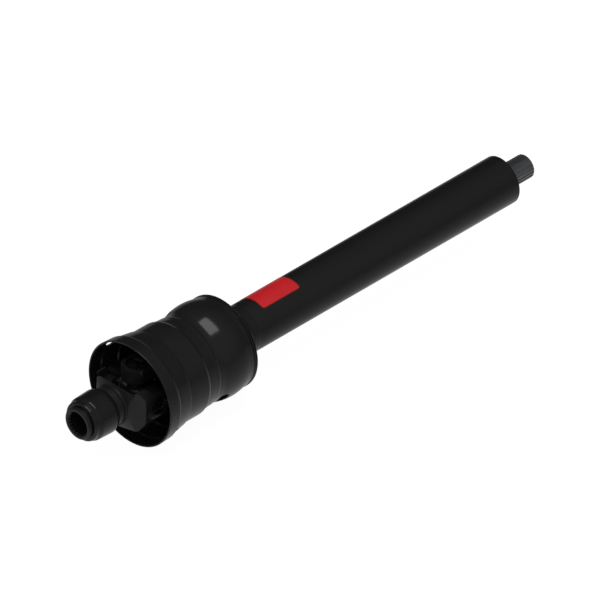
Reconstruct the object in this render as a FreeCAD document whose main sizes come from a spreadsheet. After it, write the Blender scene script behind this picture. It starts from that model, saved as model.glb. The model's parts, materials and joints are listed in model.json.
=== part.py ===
"""Drive shaft half with a wide-angle joint, a quick-release yoke and a plastic guard.

Millimetres. +X runs along the shaft from the yoke's nose to the splined end, +Z is up, and the
origin lies on the axis in the mouth of the yoke's splined bore. The fork arms of both yokes lie
along Y and the ears of the centre housing along Z.
"""
import FreeCAD
import Part
import math
import os
import Sketcher

# Each row is an alias, its number in millimetres (or a count) and what it sizes.
SIZES = (
    ("joint_station", 137.0, "front cross centre from the nose face"),
    ("joint_length", 88.0, "front cross centre to rear cross centre"),
    ("shaft_station", 1050.3, "splined end of the shaft from the nose face"),
    ("running_fit", 0.05, "radial clearance of a journal in its bearing cap"),
    ("sliding_fit", 0.10, "radial clearance of the collar and of the balls in their holes"),
    ("side_gap", 0.3, "clearance at a face that another body runs past"),
    ("hub_radius", 28.6, "nose of the tractor yoke"),
    ("nose_chamfer", 1.2, "edge of the nose and of the bore mouth"),
    ("bore_major", 22.2, "root radius of the splined bore"),
    ("bore_minor", 20.2, "tip radius of the bore's teeth"),
    ("bore_depth", 92.0, "depth of the splined bore"),
    ("tooth_count", 20, "teeth of the bore and of the shaft"),
    ("tooth_slope", 0.45, "rise of a tooth flank sideways for each millimetre of depth"),
    ("stop_station", 7.4, "front of the collar's stop ring"),
    ("stop_width", 1.6, "thickness of the stop ring"),
    ("stop_depth", 1.6, "depth of the stop ring's groove"),
    ("stop_rise", 1.9, "how far the stop ring stands out of the hub"),
    ("neck_station", 63.0, "shoulder that the collar's spring pushes on"),
    ("neck_radius", 35.0, "neck behind the collar"),
    ("band_station", 76.5, "front of the turned band at the root of the fork"),
    ("band_radius", 36.6, "turned band at the root of the fork"),
    ("band_length", 5.8, "turned band up to the flare"),
    ("flare_reach", 44.7, "cross centre to the corner where the flare ends"),
    ("fork_radius", 60.7, "largest radius of a fork"),
    ("facet_reach", 32.4, "cross centre to where the slanted side of an arm meets its outer face"),
    ("facet_gap", 0.4, "that slanted side outside the root of the flare"),
    ("flat_height", 37.7, "half height of the fork's flat top and bottom"),
    ("flat_reach", 25.0, "cross centre to the end of those flats"),
    ("arm_reach", 12.0, "cross centre to where an arm is as narrow as its ear"),
    ("ear_half", 24.0, "half width of an ear"),
    ("ear_straight", 8.5, "straight side of an ear beyond the cross centre"),
    ("ear_curve", 26.0, "radius of an ear's rounded end"),
    ("ear_crown", 3.9, "how far the fork's radius stands past the outer faces of its ears"),
    ("ear_inside", 29.0, "inner face of an ear from the axis"),
    ("crotch_reach", 35.0, "cross centre to the bottom of the fork's window"),
    ("window_round", 11.0, "corner radius of the fork's window"),
    ("bridge_reach", 21.0, "cross centre to the bridge behind it"),
    ("bridge_depth", 9.0, "thickness of the bridge"),
    ("bridge_half", 13.0, "half height of the bridge"),
    ("bridge_root", 6.0, "cross centre to where the bridge leaves the ears"),
    ("bridge_flat", 32.0, "half width of the bridge's flat back"),
    ("bridge_shoulder", 42.0, "half width of the bridge where its corner is cut off"),
    ("bridge_set", 7.3, "how far the bridge stays inside the ears' outer faces"),
    ("stud_radius", 6.0, "centring stud"),
    ("ball_radius", 10.0, "centring ball"),
    ("socket_play", 1.2, "radial room of the centring ball in its bush"),
    ("bush_wall", 1.8, "wall of the centring bush"),
    ("socket_wall", 2.2, "wall of the socket round the bush"),
    ("socket_lead", 5.0, "socket mouth beyond the ball's centre"),
    ("bush_length", 16.0, "centring bush"),
    ("cap_radius", 17.5, "bearing cap"),
    ("cap_sink", 3.55, "bearing cap below the outer face of a fork's ear"),
    ("housing_rise", 2.25, "outer face of the centre housing's ears above their bearing caps"),
    ("cap_mouth", 25.4, "open end of a bearing cap from the axis"),
    ("cap_floor", 3.4, "floor of a bearing cap"),
    ("cap_chamfer", 1.0, "edge of a bearing cap"),
    ("journal_radius", 11.0, "journal of a cross"),
    ("cross_radius", 18.0, "round middle of a cross"),
    ("cross_collar", 14.5, "collar at the root of a journal"),
    ("cross_reach", 22.0, "end of that collar from the axis"),
    ("ring_thickness", 1.6, "snap ring of a bearing cap"),
    ("ring_depth", 1.2, "depth of its groove in the ear"),
    ("ring_width", 3.9, "radial width of the snap ring"),
    ("ring_play", 0.1, "play of a snap ring in its groove"),
    ("ring_angle", 325.0, "how far round a snap ring goes, in degrees"),
    ("seal_radius", 16.6, "lip seal of a bearing cap"),
    ("seal_slope", 1.2, "length of the seal's slanted edge"),
    ("web_thickness", 12.0, "web in the middle of the centre housing"),
    ("web_radius", 50.0, "outside of the web"),
    ("web_hole", 32.0, "hole in the web for the ball and socket"),
    ("web_recess", 18.0, "half length of that hole's recess in the plates"),
    ("waist_height", 50.0, "half height of the housing between its ears"),
    ("waist_half", 19.0, "half length of that waist"),
    ("fitting_radius", 4.6, "head of a grease fitting"),
    ("fitting_stem", 3.0, "stem of a grease fitting"),
    ("fitting_tip", 31.0, "tip of a grease fitting from the cross centre"),
    ("fitting_neck", 2.25, "neck of a grease fitting"),
    ("fitting_slope", 1.0, "length of the slope from its head to its neck"),
    ("fitting_nose", 1.8, "radius and length of its nose"),
    ("lock_station", 34.0, "lock balls from the nose face"),
    ("lock_radius", 4.75, "lock ball"),
    ("lock_reach", 23.55, "locked place of a ball's centre from the axis"),
    ("lock_lift", 3.4, "how far a ball moves out to let the stub go"),
    ("lock_count", 3, "lock balls"),
    ("collar_station", 9.3, "front face of the slide collar"),
    ("collar_length", 55.2, "slide collar"),
    ("collar_travel", 12.0, "travel of the slide collar"),
    ("collar_lip", 36.1, "radius of the collar's front lip"),
    ("collar_lip_length", 6.7, "front lip up to the step"),
    ("collar_step", 5.0, "length of the step behind the lip"),
    ("collar_front_radius", 39.2, "grip of the collar at its front"),
    ("collar_back_radius", 40.5, "grip of the collar at its back"),
    ("collar_round", 2.4, "rounded front edge of the collar"),
    ("collar_tail", 12.5, "length of the collar's rounded back"),
    ("collar_tail_radius", 36.5, "back edge of the collar"),
    ("collar_tail_round", 22.0, "curve of the collar's back"),
    ("land_length", 6.0, "part of the collar's bore that holds the balls in"),
    ("spring_wire", 1.25, "radius of the spring's wire"),
    ("spring_radius", 32.0, "middle of the spring's turns"),
    ("spring_turns", 4.0, "turns of the spring"),
    ("shaft_tip", 21.43, "tip radius of the shaft's teeth"),
    ("shaft_root", 20.0, "root radius of the shaft's teeth"),
    ("shaft_lead", 16.0, "shaft's inner end in front of the spring pin"),
    ("shaft_chamfer", 1.5, "edge of the splined end"),
    ("shank_radius", 35.0, "shank of the shaft yoke"),
    ("shank_length", 120.0, "rear cross centre to the end of the shank"),
    ("pin_radius", 5.0, "spring pin through the shank"),
    ("pin_inset", 17.0, "spring pin in front of the guard bearing's groove"),
    ("pin_wall", 1.8, "wall of the spring pin"),
    ("root_length", 11.6, "shank's root from the corner where the flare ends"),
    ("track_inset", 27.0, "end of the shank to the front of the guard bearing's groove"),
    ("track_width", 8.0, "guard bearing's groove"),
    ("track_depth", 3.0, "depth of that groove"),
    ("bearing_wall", 5.1, "guard bearing between the shank and the guard tube"),
    ("tube_wall", 3.0, "wall of the guard tube"),
    ("tube_lead", 6.0, "guard tube in front of the bearing's groove"),
    ("tube_seat", 0.6, "depth of the tube's turned seat under the back cone"),
    ("tube_end", 993.1, "open end of the guard tube"),
    ("bearing_front", 4.0, "guard bearing in front of its groove"),
    ("bearing_back", 5.0, "guard bearing behind its groove"),
    ("bell_wall", 3.0, "wall of the guard bell"),
    ("mouth_station", 123.3, "mouth of the bell"),
    ("mouth_radius", 96.9, "bell at its mouth"),
    ("skirt_end", 146.3, "end of the bell's skirt"),
    ("skirt_radius", 95.8, "bell there"),
    ("cone_start", 150.0, "start of the bell's cone"),
    ("cone_radius", 93.6, "bell there"),
    ("cone_end", 179.5, "end of the cone"),
    ("cone_end_radius", 89.0, "bell there"),
    ("drum_start", 182.5, "start of the bell's drum"),
    ("drum_radius", 86.4, "drum of the bell"),
    ("drum_end", 224.0, "end of the drum"),
    ("waist_start", 229.0, "start of the bell's waist"),
    ("waist_start_radius", 84.0, "bell there"),
    ("waist_middle", 246.0, "middle of the waist"),
    ("waist_radius", 82.0, "bell there"),
    ("bulge_start", 268.5, "start of the bulge"),
    ("bulge_start_radius", 81.4, "bell there"),
    ("bulge_end", 322.0, "end of the bulge"),
    ("bulge_end_radius", 84.7, "bell there"),
    ("bulge_curve", 92.0, "radius of the bulge along the axis"),
    ("rim_station", 333.0, "start of the bell's rear rim"),
    ("rim_radius", 83.6, "bell there"),
    ("rim_slope", 1.0, "step from the bell up to its rim"),
    ("flange_radius", 84.4, "rear rim and the flange behind it"),
    ("flange_station", 336.6, "face where the bell meets its back"),
    ("flange_thickness", 2.6, "flange of the back cone"),
    ("back_station", 366.0, "end of the back cone"),
    ("back_wall", 3.0, "wall of the back cone"),
    ("back_rise", 4.6, "back cone at its end above the guard tube"),
    ("back_lip", 4.5, "length of the rounded lip behind the back cone"),
    ("back_round", 6.75, "curve of that lip"),
    ("back_edge", 0.15, "edge of the lip above the guard tube"),
    ("sleeve_length", 20.0, "sleeve that carries the back cone on the tube"),
    ("small_hole", 8.0, "radius of the two holes near the mouth"),
    ("small_hole_station", 153.5, "holes near the mouth"),
    ("small_hole_height", 52.5, "one of them above the axis and the other below"),
    ("large_hole", 10.5, "radius of the two holes at the waist"),
    ("large_hole_station", 275.0, "holes at the waist"),
    ("large_hole_height", 51.0, "one of them above the axis and the other below"),
    ("label_station", 413.4, "front edge of the label"),
    ("label_length", 89.2, "label along the tube"),
    ("label_start", 37.0, "lower edge of the label above +Y, in degrees"),
    ("label_span", 83.7, "how far round the tube the label goes, in degrees"),
    ("label_thickness", 0.2, "label"),
    ("label_round", 6.0, "corner radius of the label"),
)


class Size:
    """A length that carries its number and the sheet formula that gives it."""

    def __init__(self, value, formula):
        self.value = value
        self.formula = formula

    def combine(self, other, sign, value):
        return Size(value, "(%s %s %s)" % (self.formula, sign, as_size(other).formula))

    def __add__(self, other):
        return self.combine(other, "+", self.value + as_size(other).value)

    def __sub__(self, other):
        return self.combine(other, "-", self.value - as_size(other).value)

    def __mul__(self, other):
        return self.combine(other, "*", self.value * as_size(other).value)

    def __truediv__(self, other):
        return self.combine(other, "/", self.value / as_size(other).value)

    def __neg__(self):
        return self * -1


def as_size(number):
    """Return a plain number as a Size, and a Size as it is."""
    return number if isinstance(number, Size) else Size(float(number), "(%r)" % float(number))


class Sheet:
    """The sheet of driving sizes: sheet.alias gives the Size of that alias."""

    def __init__(self, document):
        self.cells = document.addObject("Spreadsheet::Sheet", "Sizes")
        for row, (alias, number, meaning) in enumerate(SIZES, start=1):
            self.cells.set("A%d" % row, meaning)
            self.cells.set("B%d" % row, str(number))
            self.cells.setAlias("B%d" % row, alias)
        document.recompute()

    def __getattr__(self, alias):
        return Size(float(self.cells.get(alias)), "Sizes." + alias)


DOC = FreeCAD.newDocument("drive_shaft")
S = Sheet(DOC)
ORIGIN = FreeCAD.Vector(0, 0, 0)
ALONG_X = FreeCAD.Vector(1, 0, 0)
ALONG_Y = FreeCAD.Vector(0, 1, 0)
ALONG_Z = FreeCAD.Vector(0, 0, 1)
PLAN = FreeCAD.Rotation()
SIDE_VIEW = FreeCAD.Rotation(ALONG_X, 90)
END_VIEW = FreeCAD.Rotation(FreeCAD.Vector(1, 1, 1), 120)
UP = FreeCAD.Rotation()
TO_Y = FreeCAD.Rotation(ALONG_X, -90)
TO_X = FreeCAD.Rotation(ALONG_Y, 90)
FITTING_WAY = FreeCAD.Rotation(ALONG_X, -45)
TOWARDS = {
    "left": FreeCAD.Rotation(ALONG_Z, -90),
    "right": FreeCAD.Rotation(ALONG_Z, 90),
    "top": FreeCAD.Rotation(ALONG_Y, -90),
    "bottom": FreeCAD.Rotation(ALONG_Y, 90),
}
REAR_STATION = S.joint_station + S.joint_length
MIDDLE_STATION = S.joint_station + S.joint_length / 2
EAR_END = S.ear_straight + S.ear_curve
EAR_FACE = S.fork_radius - S.ear_crown
CAP_FACE = EAR_FACE - S.cap_sink
HOUSING_FACE = CAP_FACE + S.housing_rise
TRACK_STATION = REAR_STATION + S.shank_length - S.track_inset
PIN_STATION = TRACK_STATION - S.pin_inset
SHAFT_START = PIN_STATION - S.shaft_lead
TUBE_BORE = S.shank_radius + S.side_gap + S.bearing_wall
TUBE_RADIUS = TUBE_BORE + S.tube_wall
FAR_OFF = 400.0
THROUGH = 4 * FAR_OFF
OVERRUN = 1.0


def bind(feature, **properties):
    """Tie each named property of a feature to a Size."""
    for name, size in properties.items():
        feature.setExpression(name.replace("__", "."), as_size(size).formula)


def constrain_axis(sketch, kind, element, point, size):
    """Hold one coordinate of a sketch point at a Size, or on the axis where it is nothing."""
    if size.value == 0.0:
        axis = -2 if kind == "DistanceX" else -1
        sketch.addConstraint(Sketcher.Constraint("PointOnObject", element, point, axis))
        return
    if size.value > 0.0:
        constraint = Sketcher.Constraint(kind, -1, 1, element, point, size.value)
    else:
        constraint = Sketcher.Constraint(kind, element, point, -1, 1, -size.value)
        size = -size
    index = sketch.addConstraint(constraint)
    sketch.setExpression("Constraints[%d]" % index, size.formula)


def arc_between(start, finish, radius, side):
    """Return an arc from start to finish that bulges left (side 1) or right (side -1)."""
    chord = finish - start
    left = FreeCAD.Vector(-chord.y, chord.x, 0).normalize()
    rise = math.sqrt(radius ** 2 - (chord.Length / 2) ** 2)
    centre = (start + finish) * 0.5 - left * (side * rise)
    first, last = (finish, start) if side > 0 else (start, finish)
    first_angle = math.atan2(first.y - centre.y, first.x - centre.x)
    last_angle = math.atan2(last.y - centre.y, last.x - centre.x)
    if last_angle < first_angle:
        last_angle += 2 * math.pi
    return Part.ArcOfCircle(Part.Circle(centre, ALONG_Z, radius), first_angle, last_angle)


def draw_loop(sketch, corners, arcs=None):
    """Draw a closed outline tied to the sheet.

    arcs gives the radius and the side of each edge that is an arc, by the number of its first
    corner. Every other edge is straight.
    """
    arcs = arcs or {}
    corners = [(as_size(across), as_size(up)) for across, up in corners]
    places = [FreeCAD.Vector(across.value, up.value, 0) for across, up in corners]
    ends = []
    for number, start in enumerate(places):
        finish = places[(number + 1) % len(places)]
        if number in arcs:
            radius, side = arcs[number]
            element = sketch.addGeometry(arc_between(start, finish, radius.value, side), False)
            index = sketch.addConstraint(Sketcher.Constraint("Radius", element, radius.value))
            sketch.setExpression("Constraints[%d]" % index, radius.formula)
            ends.append((element, 2, 1) if side > 0 else (element, 1, 2))
        else:
            element = sketch.addGeometry(Part.LineSegment(start, finish), False)
            ends.append((element, 1, 2))
    for number, (element, start_point, _) in enumerate(ends):
        before, _, before_end = ends[number - 1]
        sketch.addConstraint(
            Sketcher.Constraint("Coincident", before, before_end, element, start_point))
        across, up = corners[number]
        constrain_axis(sketch, "DistanceX", element, start_point, across)
        constrain_axis(sketch, "DistanceY", element, start_point, up)


def body_sketch(body, role, name):
    """Add a sketch on one of a body's own origin planes."""
    sketch = body.newObject("Sketcher::SketchObject", name)
    plane = next(item for item in body.Origin.OriginFeatures if item.Role == role)
    sketch.AttachmentSupport = [(plane, "")]
    sketch.MapMode = "FlatFace"
    return sketch


def turned_body(name, corners, arcs=None, angle=None):
    """Turn a profile of stations and radii about the X axis."""
    body = DOC.addObject("PartDesign::Body", name)
    sketch = body_sketch(body, "XY_Plane", name + "_profile")
    draw_loop(sketch, corners, arcs)
    turn = body.newObject("PartDesign::Revolution", name + "_turn")
    turn.Profile = sketch
    turn.ReferenceAxis = (sketch, ["H_Axis"])
    turn.Angle = 360
    if angle is not None:
        bind(turn, Angle=angle)
    body.Tip = turn
    return body


def place(feature, station, rotation=None):
    """Put a feature on the axis at a station, turned as given."""
    feature.Placement = FreeCAD.Placement(ORIGIN, rotation or FreeCAD.Rotation())
    bind(feature, Placement__Base__x=station)
    return feature


def tooth_gap(body, name, tip, root, depth, below):
    """Cut the gaps between the teeth, from the tip radius to the root radius.

    A gap is half a tooth pitch wide half way down, and below carries it past the surface that
    it starts from.
    """
    sketch = body_sketch(body, "YZ_Plane", name + "_gap")
    quarter_pitch = (tip + root) * (math.pi / 4) / S.tooth_count
    middle = (tip + root) / 2
    tip_half = quarter_pitch + (tip - middle + below) * S.tooth_slope
    root_half = quarter_pitch - (middle - root) * S.tooth_slope
    draw_loop(sketch, [(-tip_half, tip + below), (-root_half, root),
                       (root_half, root), (tip_half, tip + below)])
    pocket = body.newObject("PartDesign::Pocket", name + "_pocket")
    pocket.Profile = sketch
    if depth is None:
        pocket.Type = "ThroughAll"
    else:
        pocket.Type = "Length"
        bind(pocket, Length=depth)
    pocket.Reversed = True
    DOC.recompute()
    pattern = body.newObject("PartDesign::PolarPattern", name + "_teeth")
    pattern.Originals = [pocket]
    axis = next(item for item in body.Origin.OriginFeatures if item.Role == "X_Axis")
    pattern.Axis = (axis, [""])
    pattern.Angle = 360
    bind(pattern, Occurrences=S.tooth_count)
    body.Tip = pattern
    return body


def prism(name, rotation, station, length, corners, arcs=None):
    """Extrude an outline both ways from a view plane through the axis."""
    sketch = DOC.addObject("Sketcher::SketchObject", name + "_outline")
    draw_loop(sketch, corners, arcs)
    place(sketch, station, rotation)
    solid = DOC.addObject("Part::Extrusion", name)
    solid.Base = sketch
    solid.DirMode = "Normal"
    solid.Solid = True
    solid.Symmetric = True
    bind(solid, LengthFwd=length)
    return solid


def rod(name, radius, length, station, direction, start=None):
    """A cylinder from the axis outwards; direction is a rotation that takes Z to its way."""
    solid = DOC.addObject("Part::Cylinder", name)
    bind(solid, Radius=radius, Height=length)
    way = direction.multVec(ALONG_Z)
    start = as_size(0.0 if start is None else start)
    solid.Placement = FreeCAD.Placement(ORIGIN, direction)
    bind(solid, Placement__Base__x=station + start * way.x,
         Placement__Base__y=start * way.y, Placement__Base__z=start * way.z)
    return solid


def through_rod(name, radius, half, station, direction):
    """A cylinder through the axis that reaches as far on both sides."""
    return rod(name, radius, half * 2, station, direction, -half)


def fuse(name, *pieces):
    """Join pieces into one solid."""
    joined = DOC.addObject("Part::MultiFuse", name)
    joined.Shapes = list(pieces)
    joined.Refine = True
    return joined


def common(name, *pieces):
    """Keep what all the pieces share."""
    shared = DOC.addObject("Part::MultiCommon", name)
    shared.Shapes = list(pieces)
    return shared


def cut(name, base, *tools):
    """Take the tools out of the base."""
    tool = tools[0] if len(tools) == 1 else fuse(name + "_tools", *tools)
    result = DOC.addObject("Part::Cut", name)
    result.Base = base
    result.Tool = tool
    return result


def opposite(direction):
    """The rotation that takes Z the other way."""
    return direction.multiply(FreeCAD.Rotation(ALONG_X, 180))


def ear_tools(name, station, direction):
    """The bearing bores of a pair of ears with the grooves of their snap rings."""
    bore = through_rod(name + "_bore", S.cap_radius, S.fork_radius, station, direction)
    groove_width = S.ring_thickness + S.ring_play * 2
    grooves = [rod("%s_groove_%d" % (name, number), S.cap_radius + S.ring_depth, groove_width,
                   station, way, CAP_FACE)
               for number, way in enumerate((direction, opposite(direction)), start=1)]
    return [bore] + grooves


def fork(name, blank, centre, way, root, root_radius):
    """Shape a turned blank into a fork with ears along Y and a bridge behind the cross.

    way is -1 where the hub lies towards the nose and 1 where it lies towards the splined end.
    Outlines are drawn from the cross centre, with the hub on the side that way gives. The
    slanted sides of the arms start at the reach and the radius of the flare's root.
    """
    def along(reach):
        return as_size(reach) * way

    side = prism(name + "_side", SIDE_VIEW, centre, THROUGH, [
        (along(FAR_OFF), -S.flat_height), (along(FAR_OFF), S.flat_height),
        (along(S.flat_reach), S.flat_height), (along(S.arm_reach), S.ear_half),
        (along(-S.ear_straight), S.ear_half), (along(-S.ear_straight), -S.ear_half),
        (along(S.arm_reach), -S.ear_half), (along(S.flat_reach), -S.flat_height)],
        {4: (S.ear_curve, -way)})
    facet = root_radius + S.facet_gap
    plan = prism(name + "_plan", PLAN, centre, THROUGH, [
        (along(FAR_OFF), -S.fork_radius), (along(root), -S.fork_radius), (along(root), -facet),
        (along(S.facet_reach), -EAR_FACE), (along(-FAR_OFF), -EAR_FACE),
        (along(-FAR_OFF), EAR_FACE), (along(S.facet_reach), EAR_FACE), (along(root), facet),
        (along(root), S.fork_radius), (along(FAR_OFF), S.fork_radius)])
    forged = common(name + "_forged", blank, side, plan)
    near = along(-EAR_END)
    far = along(S.crotch_reach)
    bend = far - along(S.window_round)
    inner = S.ear_inside - S.window_round
    window = prism(name + "_window", PLAN, centre, THROUGH, [
        (near, -S.ear_inside), (bend, -S.ear_inside), (far, -inner),
        (far, inner), (bend, S.ear_inside), (near, S.ear_inside)],
        {1: (S.window_round, -way), 3: (S.window_round, -way)})
    back = along(-S.bridge_reach - S.bridge_depth)
    bridge = prism(name + "_bridge", PLAN, centre, S.bridge_half * 2, [
        (along(-S.bridge_root), S.ear_inside), (along(-S.bridge_root), EAR_FACE - S.bridge_set),
        (along(-S.ear_half), S.bridge_shoulder), (back, S.bridge_flat), (back, -S.bridge_flat),
        (along(-S.ear_half), -S.bridge_shoulder), (along(-S.bridge_root), S.bridge_set - EAR_FACE),
        (along(-S.bridge_root), -S.ear_inside), (along(-S.bridge_reach), S.window_round - S.ear_inside),
        (along(-S.bridge_reach), S.ear_inside - S.window_round)])
    return fuse(name + "_ring", cut(name + "_open", forged, window), bridge)


def make_tractor_yoke():
    """Forged yoke: splined nose, neck, fork and centring stud."""
    station = S.joint_station
    far = station + EAR_END
    flare = S.band_station + S.band_length
    blank = turned_body("yoke_blank", [
        (0, 0), (0, S.hub_radius - S.nose_chamfer), (S.nose_chamfer, S.hub_radius),
        (S.stop_station, S.hub_radius), (S.stop_station, S.hub_radius - S.stop_depth),
        (S.stop_station + S.stop_width, S.hub_radius - S.stop_depth),
        (S.stop_station + S.stop_width, S.hub_radius), (S.neck_station, S.hub_radius),
        (S.neck_station, S.neck_radius), (S.band_station, S.neck_radius),
        (S.band_station, S.band_radius), (flare, S.band_radius),
        (station - S.flare_reach, S.fork_radius), (far, S.fork_radius), (far, 0)])
    bore_sketch = body_sketch(blank, "YZ_Plane", "bore_outline")
    bore_sketch.addGeometry(Part.Circle(ORIGIN, ALONG_Z, S.bore_minor.value), False)
    bore_sketch.addConstraint(Sketcher.Constraint("Coincident", 0, 3, -1, 1))
    bore_sketch.addConstraint(Sketcher.Constraint("Radius", 0, S.bore_minor.value))
    bore_sketch.setExpression("Constraints[1]", S.bore_minor.formula)
    bore = blank.newObject("PartDesign::Pocket", "bore")
    bore.Profile = bore_sketch
    bind(bore, Length=S.bore_depth)
    bore.Reversed = True
    blank.Tip = bore
    DOC.recompute()
    tooth_gap(blank, "bore", S.bore_minor, S.bore_major, S.bore_depth, -OVERRUN)
    ring = fork("yoke", blank, station, -1, station - flare, S.band_radius)
    mouth = DOC.addObject("Part::Cone", "yoke_mouth")
    bind(mouth, Radius1=S.bore_major + S.nose_chamfer, Radius2=S.bore_minor - S.nose_chamfer,
         Height=S.bore_major - S.bore_minor + S.nose_chamfer * 2)
    mouth.Placement = FreeCAD.Placement(ORIGIN, TO_X)
    holes = [rod("lock_hole_%d" % number, S.lock_radius + S.sliding_fit,
                 S.hub_radius, S.lock_station, way, S.lock_reach - S.lock_radius * 2)
             for number, way in enumerate(lock_ways(), start=1)]
    reach = S.bridge_reach + S.bridge_depth / 2
    stud = rod("yoke_stud", S.stud_radius, S.joint_length / 2 - reach, station + reach, TO_X)
    bored = cut("yoke_bored", ring, mouth, *(holes + ear_tools("yoke_ear", station, TO_Y)))
    return fuse("tractor_yoke", bored, stud)


def lock_ways():
    """The directions of the lock balls, spread evenly round the axis."""
    count = int(S.lock_count.value)
    return [FreeCAD.Rotation(ALONG_X, 360.0 * number / count) for number in range(count)]


def make_lock_balls():
    """Steel balls that drop into the groove of the tractor's stub."""
    balls = {}
    for number, way in enumerate(lock_ways(), start=1):
        ball = DOC.addObject("Part::Sphere", "lock_ball_%d" % number)
        outwards = way.multVec(ALONG_Z)
        bind(ball, Radius=S.lock_radius, Placement__Base__x=S.lock_station,
             Placement__Base__y=S.lock_reach * outwards.y,
             Placement__Base__z=S.lock_reach * outwards.z)
        balls[ball.Name] = ball
    return balls


def make_slide_collar():
    """Grip that slides back to let the lock balls out, with the ramp that drives them in."""
    front = S.collar_station
    back = front + S.collar_length
    bore = S.hub_radius + S.sliding_fit
    chamber = S.neck_radius + S.side_gap
    lip_end = front + S.collar_lip_length
    ramp_start = S.lock_station - S.collar_travel
    pocket_start = ramp_start - S.lock_radius - S.side_gap
    spring_seat = S.lock_station + S.land_length
    edge = S.collar_round
    return turned_body("slide_collar", [
        (front, bore), (front, S.collar_lip - edge), (front + edge, S.collar_lip),
        (lip_end, S.collar_lip), (lip_end + S.collar_step, S.collar_front_radius),
        (back - S.collar_tail, S.collar_back_radius), (back, S.collar_tail_radius),
        (back, chamber), (spring_seat, chamber), (spring_seat, bore),
        (S.lock_station, bore), (ramp_start, bore + S.lock_lift),
        (pocket_start, bore + S.lock_lift), (pocket_start, bore)],
        {1: (edge, 1), 5: (S.collar_tail_round, 1)})


def make_stop_ring():
    """Wire ring that keeps the collar on the hub."""
    inside = S.hub_radius - S.stop_depth
    return turned_body("collar_stop_ring", [
        (S.stop_station, inside), (S.stop_station, S.hub_radius + S.stop_rise),
        (S.stop_station + S.stop_width, S.hub_radius + S.stop_rise),
        (S.stop_station + S.stop_width, inside)], angle=S.ring_angle)


def make_collar_spring():
    """Coil spring between the collar's inner shoulder and the yoke's neck, of eight-sided wire."""
    start = S.lock_station + S.land_length + S.spring_wire + S.side_gap
    end = S.neck_station - S.spring_wire - S.side_gap
    body = DOC.addObject("PartDesign::Body", "collar_spring")
    sketch = body_sketch(body, "XY_Plane", "spring_wire")
    flat = S.spring_wire * math.tan(math.pi / 8)
    sides = ((-1, 1), (1, 1), (1, -1), (-1, -1))
    corners = []
    for number, (across, up) in enumerate(sides):
        far_across, far_up = S.spring_wire * across, S.spring_wire * up
        pair = [(start + far_across, S.spring_radius + flat * up),
                (start + flat * across, S.spring_radius + far_up)]
        corners += pair if number % 2 == 0 else pair[::-1]
    draw_loop(sketch, corners)
    coil = body.newObject("PartDesign::AdditiveHelix", "spring_coil")
    coil.Profile = sketch
    coil.ReferenceAxis = (sketch, ["H_Axis"])
    coil.Mode = "height-turns-angle"
    bind(coil, Height=end - start, Turns=S.spring_turns)
    body.Tip = coil
    return body


def make_cross(name, station):
    """Cross with four journals and the hole of its grease fitting."""
    journal = CAP_FACE - S.cap_floor - S.side_gap
    pieces = []
    for label, way in (("side", TO_Y), ("upright", UP)):
        pieces.append(through_rod("%s_%s_journal" % (name, label), S.journal_radius, journal,
                                  station, way))
        pieces.append(through_rod("%s_%s_collar" % (name, label), S.cross_collar, S.cross_reach,
                                  station, way))
    middle = place(DOC.addObject("Part::Sphere", name + "_middle"), station)
    bind(middle, Radius=S.cross_radius)
    hole = rod(name + "_hole", S.fitting_stem, S.cross_radius, station, FITTING_WAY,
               S.journal_radius)
    spot_face = rod(name + "_spot_face", S.fitting_radius + S.side_gap, S.cross_radius, station,
                    FITTING_WAY, S.cross_radius)
    return cut(name, fuse(name + "_solid", middle, *pieces), hole, spot_face)


def make_fitting(name, station):
    """Grease fitting: stem, head, neck and nipple, pointing up between the ears."""
    seat = S.cross_radius
    shoulder = seat + S.fitting_radius
    fitting = turned_body(name, [
        (S.journal_radius, 0), (S.journal_radius, S.fitting_stem), (seat, S.fitting_stem),
        (seat, S.fitting_radius), (shoulder, S.fitting_radius),
        (shoulder + S.fitting_slope, S.fitting_neck),
        (S.fitting_tip - S.fitting_stem, S.fitting_neck),
        (S.fitting_tip - S.fitting_nose, S.fitting_stem),
        (S.fitting_tip, S.fitting_nose), (S.fitting_tip, 0)])
    return place(fitting, station, FITTING_WAY.multiply(FreeCAD.Rotation(ALONG_Y, -90)))


def make_cap(name, station, side):
    """Bearing cap: a drawn cup whose needles are one with its bore."""
    bore = S.journal_radius + S.running_fit
    floor = CAP_FACE - S.cap_floor
    cap = turned_body(name, [
        (S.cap_mouth, bore), (S.cap_mouth, S.cap_radius),
        (CAP_FACE - S.cap_chamfer, S.cap_radius),
        (CAP_FACE, S.cap_radius - S.cap_chamfer), (CAP_FACE, 0), (floor, 0), (floor, bore)])
    return place(cap, station, TOWARDS[side])


def make_snap_ring(name, station, side):
    """Snap ring that keeps a bearing cap in its ear."""
    start = CAP_FACE + S.ring_play
    outside = S.cap_radius + S.ring_depth - S.ring_play
    ring = turned_body(name, [
        (start, outside - S.ring_width), (start, outside),
        (start + S.ring_thickness, outside), (start + S.ring_thickness, outside - S.ring_width)],
        angle=S.ring_angle)
    return place(ring, station, TOWARDS[side])


def make_seal(name, station, side):
    """Lip seal in the mouth of a bearing cap."""
    inside = S.journal_radius + S.side_gap
    start = S.cross_reach + S.side_gap
    seal = turned_body(name, [
        (start, inside), (start, S.cross_collar), (start + S.seal_slope, S.seal_radius),
        (S.cap_mouth, S.seal_radius), (S.cap_mouth, inside)])
    return place(seal, station, TOWARDS[side])


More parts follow.
